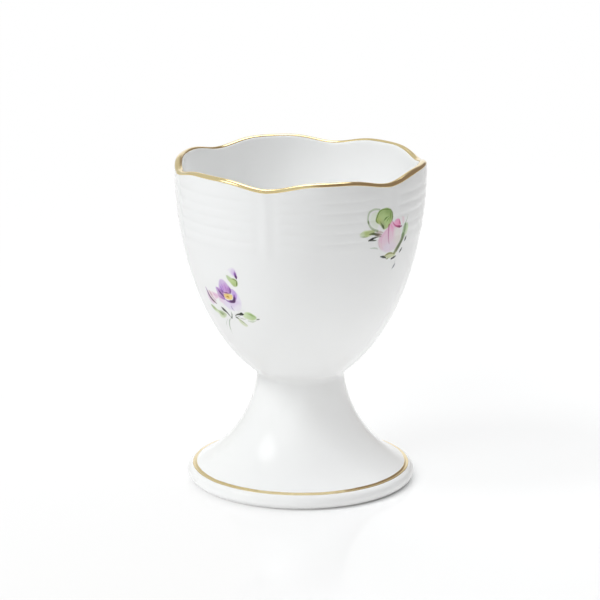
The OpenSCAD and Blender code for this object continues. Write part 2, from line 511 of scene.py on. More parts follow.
class Spray:
    """The paint of a spray, round a middle at a turn and a height."""

    def __init__(self, turn, z, half_w, half_h):
        self.turn, self.z = turn, z
        xs = np.arange(-half_w, half_w + GRID, GRID)
        ys = np.arange(-half_h, half_h + GRID, GRID)
        self.shape = (len(ys), len(xs))
        self.x, self.y = (m.ravel() for m in np.meshgrid(xs, ys))
        self.density = np.zeros((len(self.x), 3))
        self.rng = np.random.default_rng(SEED)

    def stroke(self, points, widths, shades, ink=(1.0,), soft=0.5):
        """One stroke of the brush. Widths, shades and ink run along it, and soft is the share
        of half its width over which its edge fades."""
        line = curve_through(points, STROKE_STEPS)
        share = np.linspace(0, 1, len(line))
        half = np.maximum(along(widths, share) / 2, LEAST_HALF)
        dx = self.x[:, None] - line[:, 0]
        dy = self.y[:, None] - line[:, 1]
        away = np.hypot(dx, dy)
        near = (away / (half + NEAR_MARGIN)).argmin(1)
        rows = np.arange(len(near))
        way = np.gradient(line, axis=0)[near]
        side = np.sign(way[:, 1] * dx[rows, near] - way[:, 0] * dy[rows, near])
        u = away[rows, near] / half[near]
        cover = smooth(np.clip((1 - u) / soft, 0, 1))
        pool = 1 + POOLED * np.exp(-(((u - POOL_AT) / POOL_W) ** 2))
        hairs = self.rng.uniform(HAIR_DRY, HAIR_WET, HAIRS)
        hair = along(hairs, (1 + side * np.minimum(u, 1)) / 2)
        strength = along(list(ink), share)[near] * cover * pool * hair
        own = along([linear(c) for c in shades], share)[near]
        self.density += strength[:, None] * density_of(own)

    def wash(self, outline, pools, soft=0.35):
        """A patch of thin paint inside a closed outline. pools are places with a shade and a
        strength each, and soft is how many millimetres its edge takes to fade."""
        ring = curve_through([*outline, *outline[:3]], WASH_STEPS)[WASH_STEPS:-2 * WASH_STEPS]
        cover = smooth(np.clip(inside_by(self.x, self.y, ring) / soft + WASH_EDGE, 0, 1))
        x, y = self.x[:, None], self.y[:, None]
        places = np.array([p[:2] for p in pools], float)
        near = 1 / (np.hypot(x - places[:, 0], y - places[:, 1]) ** 3 + WASH_FLOW)
        near /= near.sum(1, keepdims=True)
        inks = np.array([p[3] for p in pools], float)[:, None]
        shades = density_of(np.array([linear(p[2]) for p in pools]))
        self.density += cover[:, None] * (near @ (shades * inks))

    def wipe(self, points, widths):
        """Takes paint off, as a painter does with a dry brush to leave a light."""
        before = self.density.copy()
        self.density[:] = 0
        self.stroke(points, widths, ["#808080"])
        self.density = before * np.exp(-WIPED * self.density[:, :1])


print(f"the paint lies on a grid of {GRID} mm")

# %% [markdown]
# The film of enamel
#
# Fired enamel stands about a hundredth of a millimetre proud of the glaze, and so does this
# film. Each point of the grid is laid on the wall with the colour that its density lets
# through, as a colour attribute of the mesh. Only faces that carry paint are made.

# %% Lay the film on the wall
FILM_LIFT, LEAST_INK = 0.012, 0.015


def film(name, spray):
    """The painted faces as a mesh on the wall."""
    rows, cols = spray.shape
    painted = (spray.density.max(1) > LEAST_INK).reshape(rows, cols)
    degrees = math.degrees(1 / wall(spray.turn, spray.z))
    bm = bmesh.new()
    layer = bm.verts.layers.float_color.new("pigment")
    verts = {}
    for i in range(rows - 1):
        for j in range(cols - 1):
            if not painted[i:i + 2, j:j + 2].any():
                continue
            corners = ((i, j), (i, j + 1), (i + 1, j + 1), (i + 1, j))
            for corner in corners:
                if corner in verts:
                    continue
                n = corner[0] * cols + corner[1]
                turn, z = spray.turn + spray.x[n] * degrees, spray.z + spray.y[n]
                vert = bm.verts.new(place(turn, wall(turn, z) + FILM_LIFT, z))
                vert[layer] = (*np.exp(-spray.density[n]), 1)
                verts[corner] = vert
            bm.faces.new([verts[c] for c in corners]).smooth = True
    return put_mesh(name, bm)


print(f"the film stands {FILM_LIFT} mm proud of the glaze")

# %% [markdown]
# The violet's flower
#
# On the real cup a petal is one loaded stroke of thin colour. The painter lays the petals first,
# wipes a light for the eye, fills it with yellow, and last sets dark touches round it with a
# fine brush. The same order is kept here. A petal is a wash, because one wash can hold several
# shades, and its veins are strokes. Each shade is that of the paint on white, and it gets
# darker where two cross.

# %% Paint the violet's flower
LILAC, ORCHID, VIOLET, PURPLE, PLUM = "#DBC2EC", "#D5A5E1", "#D2AEEE", "#9561AB", "#5E2C6A"
MAUVE, DARK_MAUVE, PALE_LILAC, ROSE_MIST = "#B180C1", "#865B9A", "#EADFFB", "#F3DDF0"
YELLOW, OCHRE = "#F8D67C", "#B59A38"


def violet_petals(s):
    """Clear petals over one another, with a few darker veins."""
    s.wash([(-2.4, 0.5), (-2.6, -0.6), (-1.6, -1.2), (-0.6, -1.9), (0.6, -2.2), (1.9, -2.1),
            (3.0, -1.5), (3.4, -0.3), (3.3, 1.0), (2.7, 2.0), (1.8, 0.6), (0.2, -0.2), (-1.0, 0.1)],
           [(-2.2, -0.3, ROSE_MIST, 1), (0, -1.3, PALE_LILAC, 0.7), (1.0, -0.9, LILAC, 0.7),
            (2.6, -1.0, PALE_LILAC, 0.3), (2.9, 0.6, PALE_LILAC, 0.6), (2.2, -0.2, LILAC, 0.7),
            (1.6, -1.7, PALE_LILAC, 0.35)], soft=0.6)
    s.wash([(-1.0, 1.4), (-1.6, 2.4), (-1.35, 3.4), (-0.9, 4.2), (-0.2, 4.4), (0.4, 4.1),
            (1.0, 3.4), (1.5, 2.7), (1.5, 2.0), (1.2, 1.5), (0, 1.3)],
           [(-1.2, 3.4, LILAC, 1.1), (-0.3, 4.0, LILAC, 0.9), (-1.0, 2.2, VIOLET, 1.1),
            (0.3, 2.8, ORCHID, 1.15), (0.9, 3.1, LILAC, 1.1), (1.3, 2.3, MAUVE, 1),
            (0.1, 1.7, ORCHID, 1)], soft=0.45)
    s.wash([(-2.6, 2.3), (-1.7, 2.3), (-0.9, 1.8), (-0.6, 0.8), (-0.7, -0.1), (-1.6, -0.1),
            (-2.5, 0.3), (-2.6, 1.3)],
           [(-2.3, 1.9, LILAC, 1.3), (-1.4, 1.5, MAUVE, 1.1), (-1.2, 0.4, MAUVE, 1),
            (-2.2, 0.7, "#E3C4E4", 1.2)])
    s.wash([(1.5, 2.7), (2.1, 2.6), (2.6, 2.1), (2.7, 1.3), (2.4, 0.5), (1.9, 0.6), (1.5, 1.4)],
           [(1.8, 2.4, LILAC, 1), (2.2, 1.9, VIOLET, 1.1), (2.5, 1.0, VIOLET, 1)])
    for points in ([(0.2, 1.8), (0.3, 2.6), (0.0, 3.6)], [(-0.4, 1.9), (-0.6, 2.8), (-0.7, 3.6)],
                   [(0.7, 1.9), (0.8, 2.6), (0.6, 3.2)]):
        s.stroke(points, [0.15, 0.3, 0.1], [PURPLE, ORCHID, LILAC], [0.4, 0.5, 0.3])
    s.stroke([(-0.7, 1.6), (-1.0, 2.4), (-1.1, 3.0)], [0.35, 0.3, 0.1], [DARK_MAUVE, MAUVE, LILAC],
             [0.8, 0.6, 0.4])
    s.stroke([(1.15, 1.7), (1.3, 2.4), (1.0, 3.2)], [0.35, 0.45, 0.15], [DARK_MAUVE, PURPLE, MAUVE],
             [1, 0.8, 0.4])
    s.stroke([(-2.2, 2.1), (-1.6, 1.3), (-0.9, 0.6)], [0.15, 0.5, 0.4],
             [MAUVE, DARK_MAUVE, DARK_MAUVE], [0.8, 1, 0.9])


def violet_eye(s):
    """A light wiped for the eye, its yellow, and the dark touches round it."""
    s.wipe([(-0.4, 0.75), (0.4, 0.8), (1.15, 0.85)], [0.75, 1.0, 0.8])
    s.wash([(-0.75, 1.2), (0.1, 1.4), (0.9, 1.45), (1.55, 1.3), (1.45, 0.65), (0.95, 0.2),
            (0.0, 0.15), (-0.6, 0.4)],
           [(0, 0.9, YELLOW, 1), (1.2, 0.8, YELLOW, 0.8), (-0.5, 0.9, "#F5CF90", 0.9)], soft=0.25)
    s.stroke([(-0.05, 0.75), (0.3, 0.75), (0.7, 0.7)], [0.2, 0.5, 0.2], [OCHRE], [0.8, 1, 0.6],
             soft=0.8)
    s.stroke([(-0.7, 1.5), (0.1, 1.55), (1.1, 1.6)], [0.15, 0.35, 0.15], ["#8A4F7A"],
             [0.7, 0.9, 0.5])
    s.stroke([(-0.8, 0.1), (0.0, -0.25), (0.9, -0.2), (1.6, 0.0), (1.9, 0.6), (2.05, 1.4)],
             [0.25, 0.5, 0.75, 0.85, 0.75, 0.35], [MAUVE, PURPLE, PLUM, PLUM, PLUM, PURPLE],
             [0.7, 0.8, 1, 1.1, 1, 0.7])
    s.stroke([(0.5, -1.25), (0.7, -1.8), (1.1, -2.2)], [0.15, 0.25, 0.08], ["#8B84A6"], [0.9, 0.5])


print("petals from", LILAC, "to", PLUM, "with an eye of", YELLOW)

# %% [markdown]
# The violet's two companions
#
# Scattered flowers are seldom single. A faint pink flower is seen from its side at the left,
# and a bud hangs above from a green calyx. Both are washes for the body and a few lines for the
# folds, as a painter would do them with two brushes.

# %% Paint the side flower and the bud
def violet_side_flower(s):
    """A faint flower seen from its side, with dark folds at its left."""
    s.wash([(-6.4, 0.6), (-5.6, 0.9), (-4.6, 0.9), (-3.4, 0.9), (-2.6, 0.7), (-2.5, 0.0),
            (-3.4, -0.5), (-4.4, -1.5), (-5.4, -2.0), (-6.4, -1.4), (-6.7, -0.3)],
           [(-6.2, -0.9, ROSE_MIST, 1), (-5.2, -1.6, ROSE_MIST, 0.9), (-4.8, 0.3, "#F2D4DE", 0.7),
            (-3.2, 0.3, "#EFC6E4", 1), (-4.4, -0.4, "#FBF0F4", 0.6)], soft=0.5)
    s.stroke([(-6.35, 1.4), (-6.15, 0.6), (-5.85, -0.25), (-5.3, -0.9), (-4.6, -1.3), (-4.0, -1.6)],
             [0.25, 0.45, 0.7, 0.75, 0.55, 0.25],
             [MAUVE, "#7E6690", "#7A5A74", "#7A5868", "#8E7280"], [0.8, 1, 1.1, 1.1, 0.9])
    s.stroke([(-5.4, 0.9), (-5.0, 0.1), (-4.4, -0.6), (-3.7, -1.0)], [0.12, 0.3, 0.3, 0.1],
             ["#B98CA6"], [0.7])
    s.stroke([(-5.2, 1.0), (-4.9, 0.4), (-4.3, -0.1)], [0.15, 0.35, 0.1], ["#D8A0AE"], [0.5])
    s.stroke([(-4.2, 0.9), (-3.8, 0.4), (-3.3, 0.2)], [0.15, 0.3, 0.1], ["#D79FC4"], [0.5])


def violet_top_bud(s):
    """A bud that hangs over the flower, and its calyx."""
    s.wash([(1.5, 6.7), (2.2, 7.2), (3.0, 7.2), (3.4, 6.4), (3.3, 5.5), (2.7, 5.6), (2.0, 6.2)],
           [(1.9, 6.9, PALE_LILAC, 0.2), (2.9, 6.5, LILAC, 0.6), (3.1, 5.7, VIOLET, 1.1)], soft=0.8)
    s.stroke([(3.1, 6.8), (3.15, 6.1), (3.25, 5.5), (3.3, 5.1)], [0.25, 0.6, 0.65, 0.3],
             [LILAC, PURPLE, PLUM, PLUM], [0.6, 0.9, 1.1])
    s.wash([(1.0, 5.5), (1.6, 5.4), (2.4, 5.0), (3.2, 4.9), (3.45, 4.1), (3.1, 3.4), (2.4, 3.3),
            (1.8, 3.9), (1.2, 4.6)],
           [(1.5, 5.0, "#C6D7B1", 1.1), (2.2, 4.5, "#D0E3A2", 1.1), (2.7, 4.0, "#CDE09E", 1.1),
            (2.6, 3.6, "#AFC285", 1.1), (3.2, 4.4, "#B4C68C", 1)])
    s.stroke([(2.2, 4.9), (2.7, 4.9), (3.1, 4.6)], [0.2, 0.4, 0.2], ["#94A66C"], [0.7])
    s.stroke([(3.2, 4.8), (3.25, 4.2), (3.1, 3.5)], [0.15, 0.35, 0.2], ["#8C9C66"], [0.9])


print("side flower of", ROSE_MIST, "and a bud of", PALE_LILAC)

# %% [markdown]
# The violet's leaves
#
# Leaves and stems are laid with a light hand and placed loosely. Each leaf is a wash with a
# darker fold, and the stems are single strokes that swell and end fine. A few nearly black
# touches give the green its depth.

# %% Paint the violet's leaves
LEAF, LEAF_DARK, LEAF_GREY, LEAF_PALE, INK = "#CDE1AD", "#B0C98E", "#C2D0A8", "#E2EFCC", "#232819"


def violet_leaves(s):
    """A leaf to each side, the stems and the dark touches between."""
    s.wash([(3.0, -2.9), (3.4, -2.3), (4.1, -1.95), (4.9, -1.95), (5.6, -2.3), (6.2, -2.7),
            (6.2, -3.2), (5.6, -3.6), (4.8, -3.75), (3.9, -3.55), (3.2, -3.3)],
           [(3.5, -2.8, LEAF_PALE, 1), (4.5, -2.4, LEAF, 1), (5.4, -2.6, LEAF_DARK, 1),
            (5.5, -3.3, LEAF, 1.1), (4.5, -3.2, LEAF, 0.9)], soft=0.4)
    s.stroke([(4.3, -2.3), (5.1, -2.45), (6.0, -2.85)], [0.15, 0.5, 0.15], [LEAF_DARK], [0.5])
    s.stroke([(4.0, -3.95), (5.0, -4.0), (6.0, -3.7)], [0.2, 0.5, 0.15], ["#CDD8C0"], [0.8])
    s.stroke([(6.1, -3.45), (6.5, -3.3), (6.95, -3.2)], [0.12, 0.3, 0.1], ["#5A6050"], [0.9])
    s.wash([(1.3, -3.7), (2.0, -3.9), (2.8, -4.4), (3.6, -5.1), (3.0, -5.4), (2.1, -5.0),
            (1.5, -4.3)], [(1.9, -4.3, "#DDE5C6", 1), (3.0, -4.9, "#E4EACF", 1)])
    s.stroke([(1.4, -3.75), (2.5, -4.35), (3.5, -5.0)], [0.15, 0.35, 0.12], ["#B0B698"], [0.7])
    s.stroke([(1.9, -3.55), (2.9, -3.7), (3.6, -3.6)], [0.12, 0.25, 0.1], ["#A9B096"], [0.6])
    s.stroke([(0.9, -3.3), (1.5, -2.95), (2.2, -2.75), (2.8, -2.6), (3.2, -2.6)],
             [0.15, 0.3, 0.45, 0.75, 0.35], [INK], [0.7, 1, 1.1, 1.4, 1.2])
    s.stroke([(0.9, -3.55), (1.2, -3.65), (1.7, -3.8)], [0.15, 0.4, 0.12], ["#525A40"], [0.9])
    s.stroke([(2.7, -2.8), (2.1, -3.15), (1.5, -3.5)], [0.1, 0.18, 0.1], ["#8A9080"], [0.6])
    s.wash([(-6.8, -2.4), (-5.9, -2.4), (-5.0, -2.7), (-4.2, -3.0), (-3.2, -2.9), (-2.4, -3.0),
            (-1.6, -3.4), (-2.2, -4.1), (-3.2, -4.6), (-4.2, -4.6), (-4.6, -3.9), (-5.6, -3.6),
            (-6.4, -3.2)],
           [(-6.0, -2.8, LEAF_GREY, 1), (-4.8, -3.3, LEAF_PALE, 1), (-3.3, -3.5, "#B9C89E", 1.1),
            (-2.2, -3.5, LEAF_GREY, 0.9), (-3.6, -4.4, LEAF_PALE, 1)], soft=0.5)
    s.stroke([(-6.3, -2.5), (-5.5, -2.9), (-4.3, -3.2)], [0.7, 1.0, 0.3], [LEAF_GREY], [0.8],
             soft=0.8)
    s.stroke([(-4.2, -3.2), (-3.3, -3.6), (-2.4, -3.5)], [0.3, 0.8, 0.2], ["#B4C29A"], [0.6])
    s.stroke([(-2.7, -2.05), (-2.1, -2.5), (-1.45, -2.9), (-1.0, -3.35), (-0.55, -3.95)],
             [0.2, 0.75, 0.5, 0.35, 0.2], [INK, INK, "#4C5242", "#5F6556"], [1.2, 1.3, 1.1, 1])
    s.stroke([(0.0, -2.6), (0.0, -3.2), (-0.3, -3.9), (-0.5, -4.2)], [0.12, 0.3, 0.4, 0.2],
             ["#6E7466"], [0.7, 1, 1.1])
    s.stroke([(-0.9, -4.2), (-1.7, -5.1), (-2.3, -6.3), (-2.6, -7.9)], [0.2, 0.35, 0.35, 0.12],
             ["#BCC6B6"], [1, 0.9])
    s.stroke([(-2.0, -4.6), (-3.0, -5.6), (-3.6, -6.9)], [0.12, 0.25, 0.1], ["#CDD4C8"], [0.9, 0.7])


print("leaves of", LEAF, "with touches of", INK)

# %% [markdown]
# The first spray
#
# The spray is painted part by part and laid on the wall as a film. A function for the whole
# flower lets the same strokes serve again at the back, as a painter repeats a flower by heart.
# The patch reaches eight and a half millimetres from its middle, just past the last stroke.

# %% Lay the violet on the front
VIOLET_PATCH = (8.5, 8.5)


def violet(name, turn, z):
    """The violet's spray, with its middle at a turn and a height."""
    s = Spray(turn, z, *VIOLET_PATCH)
    violet_petals(s)
    violet_eye(s)
    violet_side_flower(s)
    violet_top_bud(s)
    violet_leaves(s)
    return film(name, s)


violet_front = violet("violet_spray", turn=-42, z=41)

# %% [markdown]
# The rosebud's petals
#
# The closed petals are barely tinted: one wash whose pinks and whites flow into one another,
# with a thin darker line for a fold. The bud opens at its upper end, where a strong touch of pink
# ends in a dark rim. It could be drawn from two shades, but the wash keeps the petals soft.

# %% Paint the rosebud's petals
PINK, PINK_PALE, PINK_DEEP, WINE = "#FFA8D2", "#FBD4EA", "#D8629F", "#9E3F6D"


def rosebud_petals(s):
    """One soft wash for the bud, its fold, and the pink where it opens."""
    s.wash([(-0.5, 1.2), (0.1, 2.0), (0.8, 2.1), (1.6, 1.2), (3.1, 0.4), (3.8, -0.6), (3.9, -1.8),
            (3.3, -3.0), (2.5, -3.8), (1.4, -4.1), (0.2, -4.2), (-1.2, -3.7), (-2.2, -2.9),
            (-2.8, -1.6), (-2.5, -0.7), (-1.6, 0.0)],
           [(0.7, 1.3, "#FFCBE8", 1.1), (-0.4, 0.2, PINK_PALE, 1), (-1.3, -1.6, "#F8DAEC", 1),
            (-2.2, -2.3, "#FAEDEF", 0.8), (0, -3.0, "#F5E6F6", 0.9), (1.0, -0.8, "#FADDEC", 1),
            (2.4, -0.4, "#F8F2EE", 0.8), (2.9, -1.9, "#F6EEEA", 0.9), (1.6, -3.2, "#F4E6F2", 1)],
           soft=0.6)
    s.stroke([(-0.7, 0.6), (-1.9, -0.8), (-1.9, -2.2), (-1.1, -3.3)], [0.4, 1.0, 1.0, 0.3],
             ["#F3C3DF", "#F0C6DC"], [0.25, 0.3, 0.2])
    s.stroke([(-2.4, -0.9), (-2.35, -2.2), (-1.5, -3.3)], [0.1, 0.25, 0.1], ["#E2C2CB"], [0.6])
    s.stroke([(-0.2, 1.6), (-0.2, 0.5), (-0.1, -0.75), (0.2, -2.0), (0.55, -2.5)],
             [0.45, 0.45, 0.35, 0.3, 0.1], ["#C88AB0", "#CC97B6", "#D3A5BE"], [0.9, 0.8, 0.6])
    s.stroke([(0.4, 1.4), (1.0, 0.4), (1.2, -0.8)], [0.5, 0.9, 0.3], ["#FBC6E2"], [0.5, 0.3])
    s.wash([(1.2, 1.8), (1.8, 2.3), (2.6, 2.3), (3.05, 1.7), (3.45, 0.9), (2.6, 0.8), (1.8, 1.1)],
           [(1.7, 1.8, "#FFC0E2", 1), (2.5, 1.9, PINK, 1), (3.0, 1.2, "#F98CC2", 1),
            (2.1, 1.2, PINK, 0.9)], soft=0.3)
    s.stroke([(0.75, 2.1), (1.3, 1.4), (2.05, 0.9), (3.05, 0.62), (3.75, 0.6)],
             [0.2, 0.35, 0.45, 0.55, 0.3], [PINK_DEEP, PINK_DEEP, PINK_DEEP, WINE, WINE],
             [0.8, 0.9, 1, 1.1, 1])
    s.stroke([(2.7, 2.2), (3.0, 1.6), (3.4, 1.0)], [0.15, 0.35, 0.2], [PINK_DEEP], [0.6])
    s.wash([(3.6, 2.6), (4.3, 2.4), (4.6, 1.6), (4.3, 1.0), (3.8, 1.5)],
           [(4.1, 1.8, "#F8DCE4", 0.7)], soft=0.5)


print("petals from", PINK_PALE, "to", WINE)

# %% [markdown]
# The rosebud's calyx
#
# The bud hangs from a round green calyx, whose stem loops back to the leaves. The calyx is a
# wash that is lighter in the middle, and darker lines go round it. Inside the loop of the stem
# lies the faintest tint of green.

# %% Paint the rosebud's calyx
CALYX, CALYX_LIGHT, CALYX_DARK = "#C3DC96", "#CBD78C", "#9DB870"


def rosebud_calyx(s):
    """The round calyx and the stem that loops back from it."""
    s.wash([(-3.3, 4.7), (-4.6, 4.5), (-5.1, 3.3), (-4.4, 1.7), (-3.2, 1.1), (-2.8, 2.4)],
           [(-4.0, 3.0, "#EFF6E6", 0.8)], soft=0.6)
    s.wash([(-2.8, 4.85), (-1.6, 5.0), (-0.4, 4.8), (0.4, 4.1), (0.7, 3.2), (0.75, 2.4),
            (0.25, 1.75), (-0.25, 1.2), (-1.0, 0.8), (-1.6, 0.85), (-2.3, 1.6), (-2.9, 2.1),
            (-3.5, 2.5), (-3.65, 3.2), (-3.45, 4.1)],
           [(-2.2, 4.5, "#B4CC88", 1.1), (-0.7, 4.5, CALYX_DARK, 1.1), (0.2, 3.6, "#A6BF7C", 1.1),
            (-2.0, 3.5, CALYX, 1), (-0.9, 2.9, CALYX, 1), (-3.0, 2.8, CALYX_LIGHT, 1.1),
            (-0.8, 1.8, CALYX, 1), (-1.9, 1.5, "#A9B882", 1)], soft=0.35)
    s.stroke([(-3.2, 4.3), (-2.4, 4.8), (-1.1, 4.9), (-0.1, 4.6)], [0.2, 0.35, 0.5, 0.3],
             [CALYX_DARK], [0.6, 0.7])
    s.stroke([(-2.8, 4.7), (-3.3, 3.8), (-3.5, 2.9), (-3.0, 2.2)], [0.15, 0.35, 0.35, 0.2],
             ["#8CA266"], [0.7, 0.8, 0.6])
    s.stroke([(-0.1, 4.7), (0.45, 3.9), (0.65, 3.0), (0.55, 2.3)], [0.2, 0.4, 0.4, 0.2],
             ["#8B9F6A", "#8B9F6A", "#8E8A72"], [0.7, 0.9])
    s.stroke([(-0.2, 4.4), (0.0, 3.2), (-0.3, 2.0)], [0.2, 0.5, 0.15], [CALYX_DARK], [0.4])
    s.stroke([(-1.6, 2.5), (-1.1, 3.0), (-0.5, 3.3)], [0.12, 0.4, 0.12], ["#7D9A58"], [1])
    s.stroke([(-0.9, 2.2), (-0.6, 2.7), (-0.3, 3.0)], [0.1, 0.3, 0.1], ["#8DAA66"], [0.8])
    s.stroke([(-2.6, 2.6), (-2.1, 1.9), (-1.75, 1.5), (-1.45, 1.0)], [0.15, 0.35, 0.6, 0.35],
             ["#A3B57A", "#78845C", "#6B7552"], [0.5, 0.9, 1])
    s.stroke([(-2.8, 5.0), (-4.05, 5.15), (-5.1, 4.75), (-5.45, 3.9), (-5.35, 2.8), (-4.8, 1.75),
              (-3.95, 1.1), (-3.0, 0.7)], [0.4, 0.5, 0.5, 0.5, 0.5, 0.5, 0.55, 0.6],
             ["#BECBAE", "#C3CFB6", "#B2BFA2"], [0.9, 0.9, 1])
    s.stroke([(-5.35, 3.1), (-5.25, 2.4)], [0.2, 0.45, 0.15], ["#94A17E"], [0.9])


print("calyx from", CALYX_LIGHT, "to", CALYX_DARK)

# %% [markdown]
# The rosebud's leaves
#
# A long sepal follows the right side of the bud, small leaves lie at the left and below, and a
# few dark dabs are scattered round. The sepal is a wash under several strokes of different
# greens, because the hairs of the brush show in the real one.

# %% Paint the rosebud's leaves
def rosebud_leaves(s):
    """Small leaves at the left and below, the long sepal and the dabs round them."""
    s.wash([(-7.1, 0.6), (-6.3, 1.1), (-5.3, 1.1), (-4.2, 1.1), (-3.6, 0.6), (-4.6, 0.0),
            (-5.6, -0.2), (-6.8, 0.0)],
           [(-6.5, 0.5, LEAF_PALE, 1), (-5.6, 0.6, "#C2D28A", 1.1), (-4.7, 0.6, "#C4D096", 1),
            (-6.8, 0.1, LEAF_PALE, 0.8)], soft=0.5)
    s.stroke([(-6.9, 0.05), (-6.2, -0.1), (-5.4, -0.15)], [0.15, 0.4, 0.15], ["#C0C9AE"], [0.8])
    s.stroke([(-5.0, 0.3), (-3.9, 0.25), (-3.0, 0.0), (-1.9, -0.2)], [0.2, 0.6, 0.6, 0.3],
             ["#657544", "#56623A", "#6A6450", "#A27D78"], [0.9, 1, 1, 0.6])
    s.stroke([(-3.2, 0.5), (-2.4, 0.3), (-1.6, 0.2)], [0.3, 0.8, 0.3], ["#C2AAA6"], [0.6])
    s.stroke([(-3.6, -0.1), (-2.6, -0.4), (-1.9, -0.6)], [0.2, 0.6, 0.2], ["#A79A90"], [0.7])
    s.stroke([(-4.9, -1.0), (-4.3, -0.85), (-3.7, -0.6), (-2.8, -0.5)], [0.35, 0.7, 0.45, 0.2],
             [INK, INK, "#3C4430"], [1, 1.2, 0.9])
    s.stroke([(-4.3, -1.0), (-3.7, -1.1), (-3.1, -1.2)], [0.4, 0.3, 0.2], [INK, "#3E4436"],
             [0.9, 0.8])
    s.stroke([(-4.5, -2.6), (-3.8, -2.65), (-3.0, -2.8), (-2.4, -3.1)], [0.12, 0.35, 0.35, 0.12],
             ["#C8D1C4"], [0.9])
    s.stroke([(5.75, 2.6), (5.4, 1.6), (5.0, 0.8)], [0.08, 0.2, 0.35], ["#A9B39E", "#98A388"],
             [0.7, 0.9])
    s.wash([(5.0, 1.0), (5.9, 0.9), (6.3, 0.0), (6.1, -1.2), (5.4, -1.6), (4.9, -2.4), (4.3, -3.4),
            (3.5, -4.4), (2.7, -5.0), (2.2, -4.6), (2.6, -3.8), (3.4, -2.9), (4.0, -1.9),
            (4.2, -0.8), (4.4, 0.2)],
           [(4.7, 0.4, "#B4CFA2", 1.1), (5.8, 0.0, "#E4F6D2", 1.2), (5.7, -1.0, "#E4F2D2", 1),
            (4.4, -0.9, "#BCD6AA", 1.1), (4.5, -2.2, "#C5CEB6", 1.1), (3.6, -3.2, "#BEC5AE", 1.1),
            (2.8, -4.4, "#C1C5A9", 1.1)], soft=0.4)
    s.stroke([(4.6, -1.2), (4.1, -2.6), (3.4, -3.7), (2.5, -4.7)], [0.7, 1.3, 1.4, 0.7],
             ["#C4C9AC"], [0.7, 0.9], soft=0.7)
    s.stroke([(5.0, 0.8), (5.0, -0.4), (4.6, -1.8), (3.9, -3.0), (3.0, -4.2)],
             [0.3, 0.5, 0.5, 0.65, 0.3], ["#82976E", "#82976E", "#8E987A", "#8E9278"],
             [0.8, 0.9, 0.9])
    s.stroke([(5.6, 0.5), (5.35, -0.8), (4.9, -2.0), (4.1, -3.3), (3.2, -4.5)],
             [0.1, 0.2, 0.22, 0.25, 0.1], ["#87976F"], [0.8])
    s.stroke([(4.5, 0.3), (4.35, -0.9), (3.8, -2.4), (3.1, -3.6)], [0.1, 0.2, 0.2, 0.1],
             ["#96A57E"], [0.7])
    s.stroke([(4.5, -0.2), (4.25, -1.4), (3.7, -2.6)], [0.12, 0.25, 0.12], ["#8FA67C"], [0.6])
    s.stroke([(5.9, -1.9), (5.75, -2.3), (5.5, -2.7)], [0.25, 0.55, 0.3], ["#3C3E36"], [1.2, 1.3])
    s.stroke([(5.0, -4.1), (4.7, -4.5), (4.35, -4.85)], [0.25, 0.5, 0.3], ["#44473E"], [1.2])
    s.stroke([(3.2, -5.45), (2.6, -5.6), (1.9, -5.75)], [0.3, 0.55, 0.45], ["#5F6254", "#3C3E36"],
             [1, 1.3])
    s.wash([(-0.5, -4.7), (0.3, -4.3), (1.3, -4.3), (2.5, -4.6), (3.0, -5.1), (2.2, -5.4),
            (1.0, -5.5), (0.1, -5.2)], [(0.8, -4.8, "#DDE0B8", 1.1), (2.2, -5.0, "#E2E6BE", 1.1)],
           soft=0.35)
    s.stroke([(-0.3, -4.75), (0.5, -4.5), (1.4, -4.5), (2.3, -4.8)], [0.2, 0.5, 0.45, 0.15],
             ["#A6A878"], [0.9, 0.9])
    s.stroke([(-1.5, -4.75), (-0.8, -4.9), (0.0, -5.2)], [0.25, 0.6, 0.35], ["#4A4F44"], [1.2])
    s.stroke([(0.1, -5.35), (0.5, -5.5), (1.0, -5.4)], [0.15, 0.35, 0.15], ["#9CA283"], [0.9])
    s.stroke([(3.5, -7.0), (3.2, -7.5), (2.8, -7.9)], [0.2, 0.6, 0.25], ["#A9ABB2"], [1.1])
    s.stroke([(3.3, -6.2), (3.15, -7.2), (2.6, -8.2)], [0.1, 0.2, 0.1], ["#D4D6D4"], [0.8])


print("leaves from", LEAF_PALE, "to", INK)

# %% [markdown]
# The other sprays
#
# The photographed side shows a violet low at the left and a rosebud high at the right. Such a
# cup is usually decorated all round, so one more of each goes on the back, at other heights.

# %% Lay the rosebuds and the second violet
ROSEBUD_PATCH = (8.0, 8.5)


def rosebud(name, turn, z):
    """The rosebud's spray, with its middle at a turn and a height."""
    s = Spray(turn, z, *ROSEBUD_PATCH)
    rosebud_petals(s)
    rosebud_calyx(s)
    rosebud_leaves(s)
    return film(name, s)


rosebud_front = rosebud("rosebud_spray", turn=44, z=55)
violet_back = violet("violet_spray_back", turn=150, z=52)
rosebud_back = rosebud("rosebud_spray_back", turn=-128, z=43)

# %% [markdown]
# A helper for materials
#
# A node needs its settings, the values of its sockets and its links. One small function does
# all three, so that a material reads from top to bottom like a recipe. The settings that come
# back most often have a name of their own.

# %% Add nodes
MIX_COLOURS = {"data_type": "RGBA"}
EASED = {"interpolation_type": "SMOOTHSTEP"}
FADE = {"To Min": 1.0, "To Max": 0.0}


def add(tree, kind, inputs=None, **settings):
    """Adds a node. An input may be a plain value or the output of another node."""
    node = tree.nodes.new(kind)
    for key, value in settings.items():
        setattr(node, key, value)
    for key, value in (inputs or {}).items():
        if isinstance(value, bpy.types.NodeSocket):
            tree.links.new(value, node.inputs[key])
        else:
            node.inputs[key].default_value = value
    return node


def new_material(name):
    """An empty material and its node tree."""
    material = bpy.data.materials.new(name)
    material.use_nodes = True
    material.node_tree.nodes.clear()
    return material, material.node_tree


def colour(code):
    """An sRGB hex colour for a socket, which also wants an alpha."""
    return (*linear(code), 1.0)


WHITE = colour("#FFFFFF")
print("white for a socket:", WHITE)

